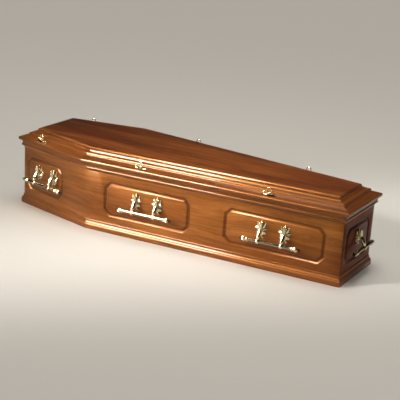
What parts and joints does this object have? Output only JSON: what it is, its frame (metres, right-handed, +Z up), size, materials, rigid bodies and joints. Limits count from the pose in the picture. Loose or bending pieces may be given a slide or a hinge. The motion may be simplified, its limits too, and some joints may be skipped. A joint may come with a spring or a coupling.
{
  "type": "wooden coffin",
  "caption": "Closed six-sided coffin in polished mahogany veneer with a stepped raised lid, grooved panels, moulded plinth, brass bar handles and small upright rings on the lid",
  "frame": {"origin": "on the floor under the middle of the coffin", "axes": "+X to the foot end, +Z up, -Y to the right side of a person lying in it"},
  "size_m": [2.0026, 0.6746, 0.4261],
  "materials": {
    "mahogany_veneer": "mahogany-toned veneer and mouldings under clear gloss lacquer",
    "pale_brass": "pale polished brass plating"
  },
  "bodies": {
    "root": {"base_board": "mahogany_veneer", "side_board_right": "mahogany_veneer", "side_board_left": "mahogany_veneer", "head_board": "mahogany_veneer", "foot_board": "mahogany_veneer", "plinth_right_head": "mahogany_veneer", "plinth_right_foot": "mahogany_veneer", "plinth_foot_end": "mahogany_veneer", "plinth_left_foot": "mahogany_veneer", "plinth_left_head": "mahogany_veneer", "plinth_head_end": "mahogany_veneer", "cornice_right_head": "mahogany_veneer", "cornice_right_foot": "mahogany_veneer", "cornice_foot_end": "mahogany_veneer", "cornice_left_foot": "mahogany_veneer", "cornice_left_head": "mahogany_veneer", "cornice_head_end": "mahogany_veneer", "lid_moulding_right_head": "mahogany_veneer", "lid_moulding_right_foot": "mahogany_veneer", "lid_moulding_foot_end": "mahogany_veneer", "lid_moulding_left_foot": "mahogany_veneer", "lid_moulding_left_head": "mahogany_veneer", "lid_moulding_head_end": "mahogany_veneer", "lid_panel": "mahogany_veneer", "bar_right_head": "pale_brass", "casting_right_head_1": "pale_brass", "casting_right_head_2": "pale_brass", "bar_right_middle": "pale_brass", "casting_right_middle_1": "pale_brass", "casting_right_middle_2": "pale_brass", "bar_right_foot": "pale_brass", "casting_right_foot_1": "pale_brass", "casting_right_foot_2": "pale_brass", "bar_left_head": "pale_brass", "casting_left_head_1": "pale_brass", "casting_left_head_2": "pale_brass", "bar_left_middle": "pale_brass", "casting_left_middle_1": "pale_brass", "casting_left_middle_2": "pale_brass", "bar_left_foot": "pale_brass", "casting_left_foot_1": "pale_brass", "casting_left_foot_2": "pale_brass", "bar_head_end": "pale_brass", "casting_head_end": "pale_brass", "bar_foot_end": "pale_brass", "casting_foot_end": "pale_brass", "ring_fitting_right_head": "pale_brass", "ring_fitting_right_middle": "pale_brass", "ring_fitting_right_foot": "pale_brass", "ring_fitting_left_head": "pale_brass", "ring_fitting_left_middle": "pale_brass", "ring_fitting_left_foot": "pale_brass"}
  },
  "joints": []
}
